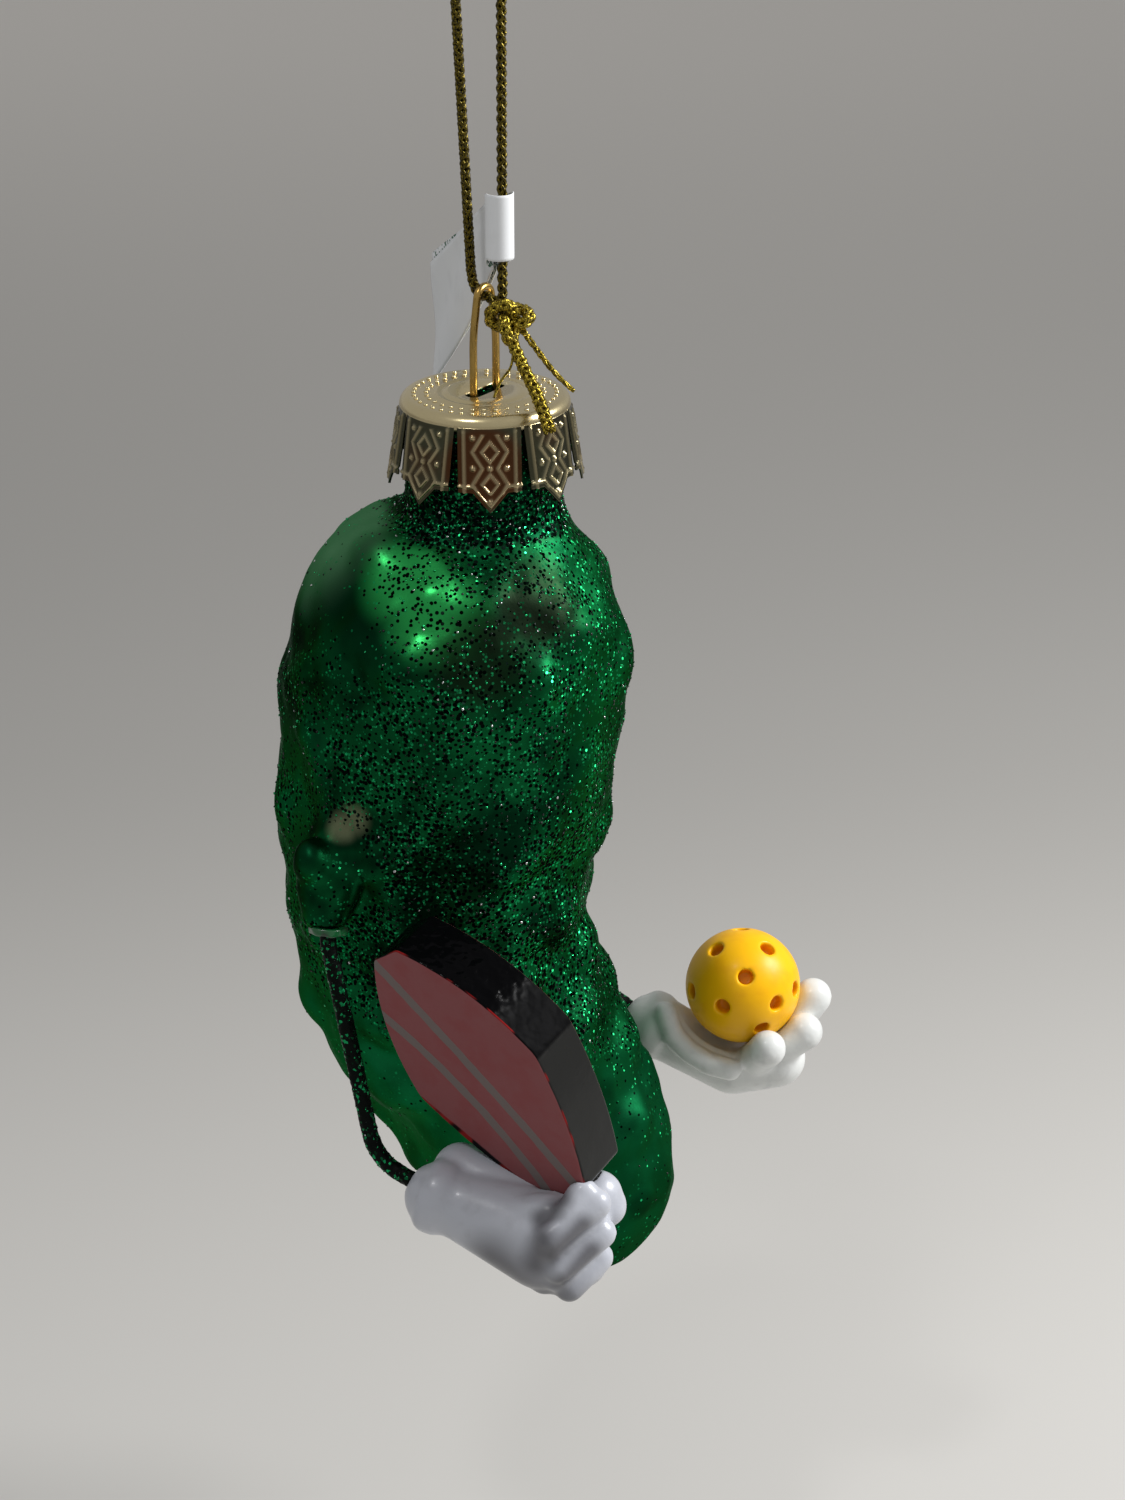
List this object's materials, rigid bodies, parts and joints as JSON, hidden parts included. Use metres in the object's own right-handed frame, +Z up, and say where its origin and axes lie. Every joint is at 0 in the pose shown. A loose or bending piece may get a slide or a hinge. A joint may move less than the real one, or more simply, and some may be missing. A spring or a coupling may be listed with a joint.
{
  "type": "pickle ornament",
  "caption": "Hanging blown-glass pickle ornament: wire arms hold a paddle and a ball, with a stamped metal cap, wire bail, braided cord loop and folded paper tag.",
  "frame": {"origin": "where the top of the cord loop bears on its hook", "axes": "+Z up along the hanging line, +X to the right and +Y away in the pictured view"},
  "size_m": [0.0709, 0.0669, 0.1727],
  "materials": {
    "glass": "silvered inside, green lacquer with glitter outside",
    "cap_metal": "bright stamped sheet, champagne gold",
    "bail_metal": "bright spring wire",
    "cord": "metallic gold braid",
    "tag_paper": "matt white paper",
    "arm_wire": "dark paint under green glitter",
    "glue": "hardened clear-white glue",
    "glove": "glossy white paint on resin",
    "paddle_paint": "painted resin, dusky pink face, black edge",
    "ball": "semi-gloss yellow"
  },
  "bodies": {
    "cord": {"cord_loop": "cord", "cord_knot": "cord", "cord_tail_thick": "cord", "cord_tail_thin": "cord"},
    "tag": {"paper_tag": "tag_paper"},
    "hanger": {"bail_wire": "bail_metal", "cap": "cap_metal"},
    "pickle": {"glass_body": "glass", "paddle_arm_glue": "glue", "ball_arm_glue": "glue", "paddle_arm_wire": "arm_wire", "ball_arm_wire": "arm_wire", "paddle_glove": "glove", "paddle": "paddle_paint", "ball_glove": "glove", "pickleball": "ball"}
  },
  "joints": [
    {"name": "hang_swing", "type": "hinge", "parent": "cord", "child": "hanger", "pos_m": [0.0005, 0, -0.0427], "axis": [0.8192, -0.5736, 0], "range_deg": [-25, 25], "deforming": ["cord_tail_thick", "cord_tail_thin"]},
    {"name": "cap_turn", "type": "hinge", "parent": "hanger", "child": "pickle", "pos_m": [0.0005, 0, -0.06], "axis": [0, 0, 1], "continuous": true},
    {"name": "tag_swivel", "type": "hinge", "parent": "cord", "child": "tag", "pos_m": [0.00267, -0.00163, -0.034], "axis": [0, 0, 1], "range_deg": [-305, 16]}
  ]
}
